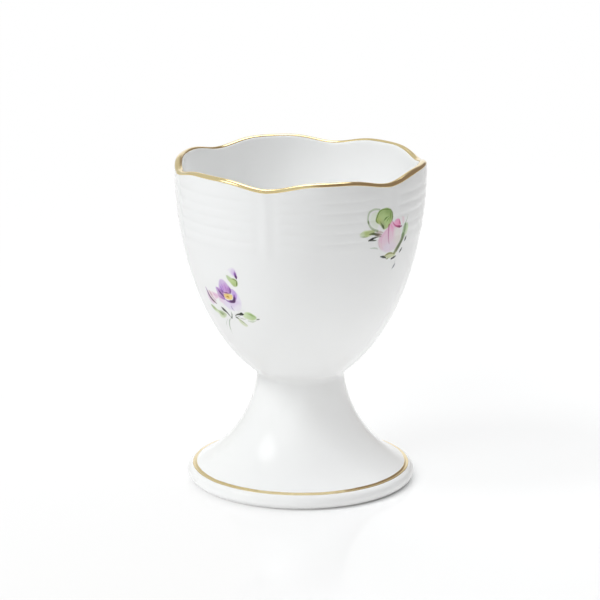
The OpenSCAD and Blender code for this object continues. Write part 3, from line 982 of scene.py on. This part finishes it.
# %% [markdown]
# Glazed porcelain
#
# Hard-paste porcelain is fired until it is nearly glass, under a clear feldspar glaze. The body
# is a neutral and nearly even white, so two whites a step or two apart drift into one another
# every few centimetres. Light also scatters a little under such a surface. At this size that
# can't be told from plain diffuse white, which renders much faster.
#
# The glaze is smooth, with an index of about 1.5, and it lies in very slow waves of nearly a
# centimetre, which only show where something is mirrored in it. The foot stands on a ring that
# is wiped free of glaze before the firing, so that it doesn't stick to the kiln shelf: there the
# body is dull and a little warmer. On the painted films the glaze is tinted by the pigment.

# %% Make the porcelain
BODY_LIGHT, BODY_DARK, BARE_BODY = "#EEEEED", "#ECECEC", "#E4E0D8"
BODY_CLOUD, GLAZE_WAVE, GLAZE_WAVE_H = 0.03, 0.009, 0.000012
WIPED_H, GLAZED_H = 0.0001, 0.00015
GLAZE_ROUGH, BARE_ROUGH, GLAZE_IOR = 0.15, 0.6, 1.5


def porcelain(name, painted=False):
    """Glazed porcelain. painted lays the colour of the enamel over it."""
    material, tree = new_material(name)
    spot = add(tree, "ShaderNodeTexCoord").outputs["Object"]
    cloud = add(tree, "ShaderNodeTexNoise", {"Vector": spot, "Scale": 1 / BODY_CLOUD, "Detail": 2.0})
    body = add(tree, "ShaderNodeMix", {"Factor": cloud.outputs["Fac"], "A": colour(BODY_LIGHT),
                                       "B": colour(BODY_DARK)}, **MIX_COLOURS).outputs["Result"]
    height = add(tree, "ShaderNodeSeparateXYZ", {"Vector": spot}).outputs["Z"]
    bare = add(tree, "ShaderNodeMapRange", {"Value": height, "From Min": WIPED_H,
                                            "From Max": GLAZED_H, **FADE}).outputs["Result"]
    body = add(tree, "ShaderNodeMix", {"Factor": bare, "A": body, "B": colour(BARE_BODY)},
               **MIX_COLOURS).outputs["Result"]
    rough = add(tree, "ShaderNodeMapRange", {"Value": bare, "To Min": GLAZE_ROUGH,
                                             "To Max": BARE_ROUGH}).outputs["Result"]
    if painted:
        pigment = add(tree, "ShaderNodeAttribute", attribute_name="pigment").outputs["Color"]
        body = add(tree, "ShaderNodeMix", {"Factor": 1.0, "A": body, "B": pigment},
                   blend_type="MULTIPLY", **MIX_COLOURS).outputs["Result"]
    wave = add(tree, "ShaderNodeTexNoise", {"Vector": spot, "Scale": 1 / GLAZE_WAVE, "Detail": 1.0})
    bump = add(tree, "ShaderNodeBump", {"Height": wave.outputs["Fac"], "Distance": GLAZE_WAVE_H})
    shader = add(tree, "ShaderNodeBsdfPrincipled",
                 {"Base Color": body, "Roughness": rough, "IOR": GLAZE_IOR,
                  "Normal": bump.outputs["Normal"]})
    add(tree, "ShaderNodeOutputMaterial", {"Surface": shader.outputs["BSDF"]})
    return material


glazed_porcelain = porcelain("glazed_porcelain")
enamel = porcelain("onglaze_enamel", painted=True)
print("nodes in the porcelain:", len(glazed_porcelain.node_tree.nodes))
print("nodes in the enamel:", len(enamel.node_tree.nodes))

# %% [markdown]
# Burnished gold
#
# The gold is a fired film of a few thousandths of a millimetre, rubbed with agate. It mirrors
# its surroundings softly, and where the film is thin it looks browner, in patches of a few
# millimetres. A metal keeps the default index: its colour is what it mirrors.
#
# The agate leaves lines a few hundredths of a millimetre wide. They are too fine to show, so
# they are drawn as dull and bright spots of about half a millimetre.

# %% Make the gold
GOLD_THICK, GOLD_THIN = "#F8E9BC", "#E9D09C"
GOLD_PATCH, RUB_W, RUB_H = 0.004, 0.0006, 0.000004
RUB_SMOOTH, RUB_DULL = 0.08, 0.2


def burnished_gold():
    """Gold film, in two tones, rubbed bright."""
    material, tree = new_material("burnished_gold")
    spot = add(tree, "ShaderNodeTexCoord").outputs["Object"]
    patch = add(tree, "ShaderNodeTexNoise", {"Vector": spot, "Scale": 1 / GOLD_PATCH, "Detail": 3.0})
    tone = add(tree, "ShaderNodeMix", {"Factor": patch.outputs["Fac"], "A": colour(GOLD_THICK),
                                       "B": colour(GOLD_THIN)}, **MIX_COLOURS)
    rub = add(tree, "ShaderNodeTexNoise", {"Vector": spot, "Scale": 1 / RUB_W, "Detail": 2.0})
    rough = add(tree, "ShaderNodeMapRange", {"Value": rub.outputs["Fac"], "To Min": RUB_SMOOTH,
                                             "To Max": RUB_DULL})
    bump = add(tree, "ShaderNodeBump", {"Height": rub.outputs["Fac"], "Distance": RUB_H})
    shader = add(tree, "ShaderNodeBsdfPrincipled",
                 {"Base Color": tone.outputs["Result"], "Metallic": 1.0,
                  "Roughness": rough.outputs["Result"], "Normal": bump.outputs["Normal"]})
    add(tree, "ShaderNodeOutputMaterial", {"Surface": shader.outputs["BSDF"]})
    return material


gold = burnished_gold()
print("nodes in the gold:", len(gold.node_tree.nodes))

# %% [markdown]
# Dressing
#
# Each piece gets its material and rides on the one rigid body of the cup. Five pieces stand in
# for the nodes of the solid model. The four painted films have no node of their own, because
# enamel is far too thin for a solid.

# %% Dress the pieces
DRESS = [
    (bowl, glazed_porcelain, "porcelain", "bowl"),
    (foot, glazed_porcelain, "porcelain", "foot"),
    (slip, glazed_porcelain, "porcelain", "joint_slip"),
    (rim_gold, gold, "gold", "rim_gilding"),
    (foot_gold, gold, "gold", "foot_gilding"),
    (violet_front, enamel, "porcelain", None),
    (rosebud_front, enamel, "porcelain", None),
    (violet_back, enamel, "porcelain", None),
    (rosebud_back, enamel, "porcelain", None),
]
for piece, material, slot, node in DRESS:
    piece.data.materials.append(material)
    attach(piece, "root")
    if node:
        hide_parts(node)
print(len(DRESS), "pieces dressed")

# %% [markdown]
# What is seen and what gives light
#
# In the photo the surroundings are white, but if they also lit the cup it would bleach. Light
# Path tells a material which kind of ray has met it, so the floor and the room can look white to
# the camera, in mirrors and through glass, and be plain for the rays that light the cup.

# %% Tell the rays apart
def shown_rays(tree):
    """1 for rays from the camera, a mirror or glass, and 0 for those that light the cup."""
    ray = add(tree, "ShaderNodeLightPath").outputs
    seen = add(tree, "ShaderNodeMath", {0: ray["Is Camera Ray"], 1: ray["Is Glossy Ray"]},
               operation="MAXIMUM").outputs[0]
    return add(tree, "ShaderNodeMath", {0: seen, 1: ray["Is Transmission Ray"]},
               operation="MAXIMUM").outputs[0]


print("the stage looks white to the camera, in mirrors and through glass")

# %% [markdown]
# The glow round the foot
#
# A white table top throws light up to the cup from all round, here most of it from the right. A
# plain floor in the shadow of the cup sends too little. So two rings on the floor give a light
# of their own to the rays that light the cup: a wide one that opens the underside of the bowl,
# and a narrow one close to the border. Lamps beside the foot could do it too, but a ring gives
# its light all round. Distances on the stage are in metres from the middle of the foot.

# %% Work out the glow
GLOW_FROM, GLOW_FULL = 0.030, 0.042
FALL_FROM, FALL_END = 0.036, 0.08
GLOW_LEFT, GLOW_RIGHT, GLOW_SIDE = 0.1, 1.3, 0.025
RIM_GLOW, RIM_GLOW_FROM, RIM_GLOW_FULL, RIM_GLOW_END = 0.65, 0.0224, 0.0240, 0.029


def glow_round_foot(tree, away, across):
    """The strength of the glow at a distance from the foot and a place across the stage."""
    rise = add(tree, "ShaderNodeMapRange", {"Value": away, "From Min": GLOW_FROM,
                                            "From Max": GLOW_FULL}, **EASED).outputs["Result"]
    fall = add(tree, "ShaderNodeMapRange", {"Value": away, "From Min": FALL_FROM,
                                            "From Max": FALL_END, **FADE}, **EASED).outputs["Result"]
    wide = add(tree, "ShaderNodeMath", {0: rise, 1: fall}, operation="MULTIPLY").outputs[0]
    side = add(tree, "ShaderNodeMapRange",
               {"Value": across, "From Min": -GLOW_SIDE, "From Max": GLOW_SIDE,
                "To Min": GLOW_LEFT, "To Max": GLOW_RIGHT}).outputs["Result"]
    wide = add(tree, "ShaderNodeMath", {0: wide, 1: side}, operation="MULTIPLY").outputs[0]
    rise = add(tree, "ShaderNodeMapRange", {"Value": away, "From Min": RIM_GLOW_FROM,
                                            "From Max": RIM_GLOW_FULL}, **EASED).outputs["Result"]
    fall = add(tree, "ShaderNodeMapRange",
               {"Value": away, "From Min": RIM_GLOW_FULL, "From Max": RIM_GLOW_END,
                "To Min": RIM_GLOW, "To Max": 0.0}, **EASED).outputs["Result"]
    narrow = add(tree, "ShaderNodeMath", {0: rise, 1: fall}, operation="MULTIPLY").outputs[0]
    glow = add(tree, "ShaderNodeMath", {0: wide, 1: narrow}, operation="ADD").outputs[0]
    lights = add(tree, "ShaderNodeLightPath").outputs["Is Diffuse Ray"]
    return add(tree, "ShaderNodeMath", {0: glow, 1: lights}, operation="MULTIPLY").outputs[0]


print(f"wide glow {GLOW_LEFT} at the left and {GLOW_RIGHT} at the right, narrow glow {RIM_GLOW}")

# %% [markdown]
# The white of the floor
#
# What the camera sees of the floor is a share of plain white over its own light and shade, so
# the background is white and the cup keeps a faint shadow. The share is larger at the left,
# from where the light comes, and it is all of it far out. Where the border of the foot curls
# under, hardly any light gets in, so the share falls to nothing there and leaves a thin dark
# line, except at the left.

# %% Work out what is shown
POOL_R, POOL_END = 0.10, 0.35
SHOWN_LEFT, SHOWN_RIGHT = 0.9, 0.62
SHADE_FROM, SHADE_FULL = -0.02, 0.02
CONTACT_FROM, CONTACT_FULL, CONTACT_LEFT = 0.0225, 0.0260, 0.95


def shown_white(tree, away, across, far):
    """The share of plain white at a distance from the foot and a place across the stage."""
    white = add(tree, "ShaderNodeMapRange",
                {"Value": across, "From Min": SHADE_FROM, "From Max": SHADE_FULL,
                 "To Min": SHOWN_LEFT, "To Max": SHOWN_RIGHT}, **EASED).outputs["Result"]
    shown = add(tree, "ShaderNodeMapRange",
                {"Value": far, "To Min": white, "To Max": 1.0}).outputs["Result"]
    least = add(tree, "ShaderNodeMapRange",
                {"Value": across, "From Min": SHADE_FROM, "From Max": SHADE_FULL,
                 "To Min": CONTACT_LEFT, "To Max": 0.0}).outputs["Result"]
    contact = add(tree, "ShaderNodeMapRange",
                  {"Value": away, "From Min": CONTACT_FROM, "From Max": CONTACT_FULL,
                   "To Min": least}, **EASED).outputs["Result"]
    return add(tree, "ShaderNodeMath", {0: shown, 1: contact}, operation="MULTIPLY").outputs[0]


print(f"share of plain white {SHOWN_LEFT} at the left and {SHOWN_RIGHT} at the right")

# %% [markdown]
# White acrylic
#
# The cup stands on a polished sheet of white acrylic, which mirrors it a little, more at a low
# angle. For the rays that light the cup the sheet is painted greyer close to the foot, a painted
# shade where the cup keeps the light off, and greyer far out, where a real table ends. Its glow
# is there for some rays only, so the sheet isn't sampled as a lamp, which would count that glow
# wrongly.

# %% Make the white acrylic
BOUNCE_FROM, BOUNCE_FULL = 0.022, 0.034
SEEN_FLOOR, PAINTED_SHADE_FLOOR, LIT_FLOOR, FAR_FLOOR = "#F6F6F6", "#D4D4D4", "#F2F2F2", "#8C8C8C"
ACRYLIC_ROUGH, ACRYLIC_IOR = 0.08, 1.49


def white_acrylic():
    """A white sheet with a glow, a share of plain white and a polish."""
    material, tree = new_material("white_acrylic_sheet")
    material.cycles.emission_sampling = "NONE"
    spot = add(tree, "ShaderNodeNewGeometry").outputs["Position"]
    away = add(tree, "ShaderNodeVectorMath", {0: spot}, operation="LENGTH").outputs["Value"]
    across = add(tree, "ShaderNodeSeparateXYZ", {"Vector": spot}).outputs["X"]
    far = add(tree, "ShaderNodeMapRange", {"Value": away, "From Min": POOL_R,
                                           "From Max": POOL_END}, **EASED).outputs["Result"]
    rise = add(tree, "ShaderNodeMapRange", {"Value": away, "From Min": BOUNCE_FROM,
                                            "From Max": BOUNCE_FULL}, **EASED).outputs["Result"]
    seen = shown_rays(tree)
    # Close to the foot the sheet's colour is a darker grey: painted shade on the light it throws up
    # to the cup.
    bounce = add(tree, "ShaderNodeMix", {"Factor": rise, "A": colour(PAINTED_SHADE_FLOOR),
                                         "B": colour(LIT_FLOOR)}, **MIX_COLOURS).outputs["Result"]
    unseen = add(tree, "ShaderNodeMix", {"Factor": far, "A": bounce, "B": colour(FAR_FLOOR)},
                 **MIX_COLOURS).outputs["Result"]
    lit = add(tree, "ShaderNodeMix", {"Factor": seen, "A": unseen, "B": colour(SEEN_FLOOR)},
              **MIX_COLOURS).outputs["Result"]
    sheet = add(tree, "ShaderNodeBsdfDiffuse", {"Color": lit}).outputs[0]
    glow = glow_round_foot(tree, away, across)
    glow = add(tree, "ShaderNodeEmission", {"Color": WHITE, "Strength": glow}).outputs[0]
    sheet = add(tree, "ShaderNodeAddShader", {0: sheet, 1: glow}).outputs[0]
    shown = shown_white(tree, away, across, far)
    share = add(tree, "ShaderNodeMath", {0: seen, 1: shown}, operation="MULTIPLY").outputs[0]
    white = add(tree, "ShaderNodeEmission", {"Color": WHITE, "Strength": 1.0}).outputs[0]
    base = add(tree, "ShaderNodeMixShader", {"Fac": share, 1: sheet, 2: white}).outputs[0]
    polish = add(tree, "ShaderNodeBsdfGlossy", {"Color": WHITE, "Roughness": ACRYLIC_ROUGH})
    mirrors = add(tree, "ShaderNodeFresnel", {"IOR": ACRYLIC_IOR}).outputs[0]
    both = add(tree, "ShaderNodeMixShader", {"Fac": mirrors, 1: base, 2: polish.outputs[0]})
    add(tree, "ShaderNodeOutputMaterial", {"Surface": both.outputs[0]})
    return material


acrylic = white_acrylic()
print("nodes in the acrylic:", len(acrylic.node_tree.nodes))

# %% [markdown]
# The floor
#
# The sheet is one large face that runs out of sight, so a camera that looks down sees no edge of
# it. A curved backdrop could close the view as well, but the white of the room already does.

# %% Lay the floor
FLOOR_SIZE = 4.0


def square_sheet(name, size, material):
    """A flat square for the stage, round its middle in the XY plane."""
    bm = bmesh.new()
    corners = ((-1, -1), (1, -1), (1, 1), (-1, 1))
    bm.faces.new([bm.verts.new((x * size / 2, y * size / 2, 0)) for x, y in corners])
    sheet = put_mesh(name, bm)
    sheet.data.materials.append(material)
    return sheet


floor = square_sheet("floor", FLOOR_SIZE, acrylic)

# %% [markdown]
# The room
#
# Gold and glaze show what stands round them, so the room is drawn for mirrors. White backdrops
# stand behind and in front of the cup, and beside it the room is light grey at the left and
# brown grey at the right. So each gold line has a light and a dark side, as in the photo. To
# the rays that light the cup the room is a dim ceiling and no more, and the camera sees it
# white. A picture of a studio could serve as the world, but would need a file.

# %% Make the room
CEILING_LIGHT, CEILING_FROM, CEILING_FULL = 0.21, 0.35, 0.5
BACKDROP_Z, ABOVE_Z = 0.30, 0.42
BACKDROP_X, BEYOND_X = 0.20, 0.38
LEFT_X, RIGHT_X = -0.10, 0.35
LEFT_ROOM, RIGHT_ROOM = "#D4D4CC", "#8F827A"


def mirrored_room(tree, axes):
    """The colour of the room in mirrors, by the way one looks."""
    low = add(tree, "ShaderNodeMapRange", {"Value": axes["Z"], "From Min": BACKDROP_Z,
                                           "From Max": ABOVE_Z, **FADE}, **EASED).outputs["Result"]
    aside = add(tree, "ShaderNodeMath", {0: axes["X"]}, operation="ABSOLUTE").outputs[0]
    wide = add(tree, "ShaderNodeMapRange", {"Value": aside, "From Min": BACKDROP_X,
                                            "From Max": BEYOND_X, **FADE}, **EASED).outputs["Result"]
    backdrop = add(tree, "ShaderNodeMath", {0: low, 1: wide}, operation="MULTIPLY").outputs[0]
    right = add(tree, "ShaderNodeMapRange", {"Value": axes["X"], "From Min": LEFT_X,
                                             "From Max": RIGHT_X}, **EASED).outputs["Result"]
    walls = add(tree, "ShaderNodeMix", {"Factor": right, "A": colour(LEFT_ROOM),
                                        "B": colour(RIGHT_ROOM)}, **MIX_COLOURS).outputs["Result"]
    return add(tree, "ShaderNodeMix", {"Factor": backdrop, "A": walls, "B": WHITE},
               **MIX_COLOURS).outputs["Result"]


world = bpy.data.worlds.new("white_studio")
bpy.context.scene.world = world
world.use_nodes = True
room = world.node_tree
room.nodes.clear()
way = add(room, "ShaderNodeTexCoord").outputs["Generated"]
axes = add(room, "ShaderNodeSeparateXYZ", {"Vector": way}).outputs
camera_ray = add(room, "ShaderNodeLightPath").outputs["Is Camera Ray"]
shown = add(room, "ShaderNodeMix", {"Factor": camera_ray, "A": mirrored_room(room, axes),
                                    "B": WHITE}, **MIX_COLOURS).outputs["Result"]
shown_sky = add(room, "ShaderNodeBackground", {"Color": shown, "Strength": 1.0}).outputs[0]
high = add(room, "ShaderNodeMapRange", {"Value": axes["Z"], "From Min": CEILING_FROM,
                                        "From Max": CEILING_FULL}, **EASED).outputs["Result"]
ceiling = add(room, "ShaderNodeMath", {0: high, 1: CEILING_LIGHT}, operation="MULTIPLY").outputs[0]
lit_sky = add(room, "ShaderNodeBackground", {"Color": WHITE, "Strength": ceiling}).outputs[0]
sky = add(room, "ShaderNodeMixShader", {"Fac": shown_rays(room), 1: lit_sky, 2: shown_sky})
add(room, "ShaderNodeOutputWorld", {"Surface": sky.outputs[0]})
print("nodes in the room:", len(room.nodes))

# %% [markdown]
# The lamps
#
# Five discs light the cup. A small softbox at the upper left models the form, and larger discs
# in front, behind and at the right open the shadows. They are hidden from mirrors, or the glaze
# would show their edges. Two more discs are seen by mirrors only: one leaves the soft highlight
# on the foot, the other the cream gleam along the gold. Each stands at a distance from a spot
# inside the cup and faces it, so only its way from there, its width and its power are listed.

# %% Hang the lamps
AIM = Vector((0, 0, 0.035))
LAMP_WHITE = linear("#FCFEFF")
LIGHT_FAR, GLINT_FAR = 0.9, 0.8
LIGHTS = [
    ("softbox", Vector((-0.6, -0.2, 0.777)), 0.3, 3.5),
    ("front_light", Vector((-0.45, -0.7, 0.6)), 0.6, 3.6),
    ("back_light", Vector((0, 0.6, 0.8)), 0.9, 3.7),
    ("right_back_light", Vector((0.6, 0.45, 0.6)), 0.9, 2.3),
    ("right_reflector", Vector((0.85, -0.05, 0.4)), 0.9, 1.8),
]
GLINTS = [
    ("softbox_glint", Vector((-0.68, -0.23, 0.70)), 0.34, 0.52),
    ("gold_glint", Vector((0, 0.405, 0.914)), 0.49, 1.42),
]


def disc_light(name, way, width, power, far):
    """A lamp shaped like a disc, which stands off AIM along a way and faces it."""
    lamp = bpy.data.lights.new(name, "AREA")
    lamp.shape, lamp.size, lamp.energy = "DISK", width, power
    lamp.color = LAMP_WHITE
    light = put(name, lamp)
    light.location = AIM + way.normalized() * far
    light.rotation_euler = way.to_track_quat("Z", "Y").to_euler()
    return light


for lamp in LIGHTS:
    disc_light(*lamp, LIGHT_FAR).visible_glossy = False
for glint in GLINTS:
    disc_light(*glint, GLINT_FAR).visible_diffuse = False
print(len(LIGHTS), "lamps light the cup and", len(GLINTS), "are only mirrored")

# %% [markdown]
# The camera
#
# The camera looks down a little, from a good half metre away, through a long lens, so the cup
# has little perspective. Its axis lies a fraction of a pixel beside the middle of the
# picture, and it is turned by a few hundredths of a degree, as a camera held on a stand is.

# %% Set the camera
CAMERA_SPOT = (0, -0.5278, 0.1768)
PITCH, ROLL = 14.86, 0.03
LENS_MM, SENSOR_MM = 163.3, 36.0
FRAME_PX, AXIS_PX = 600, 0.7

camera_data = bpy.data.cameras.new("camera")
camera_data.lens, camera_data.sensor_width = LENS_MM, SENSOR_MM
camera_data.shift_x = -AXIS_PX / FRAME_PX
camera = put("camera", camera_data)
tilt = Matrix.Rotation(math.radians(90 - PITCH), 4, "X") @ Matrix.Rotation(math.radians(ROLL), 4, "Z")
camera.matrix_world = Matrix.Translation(CAMERA_SPOT) @ tilt
bpy.context.scene.camera = camera
bpy.context.scene.view_settings.view_transform = "Standard"
print(f"camera {Vector(CAMERA_SPOT).length / MM:.0f} mm from the middle of the foot")
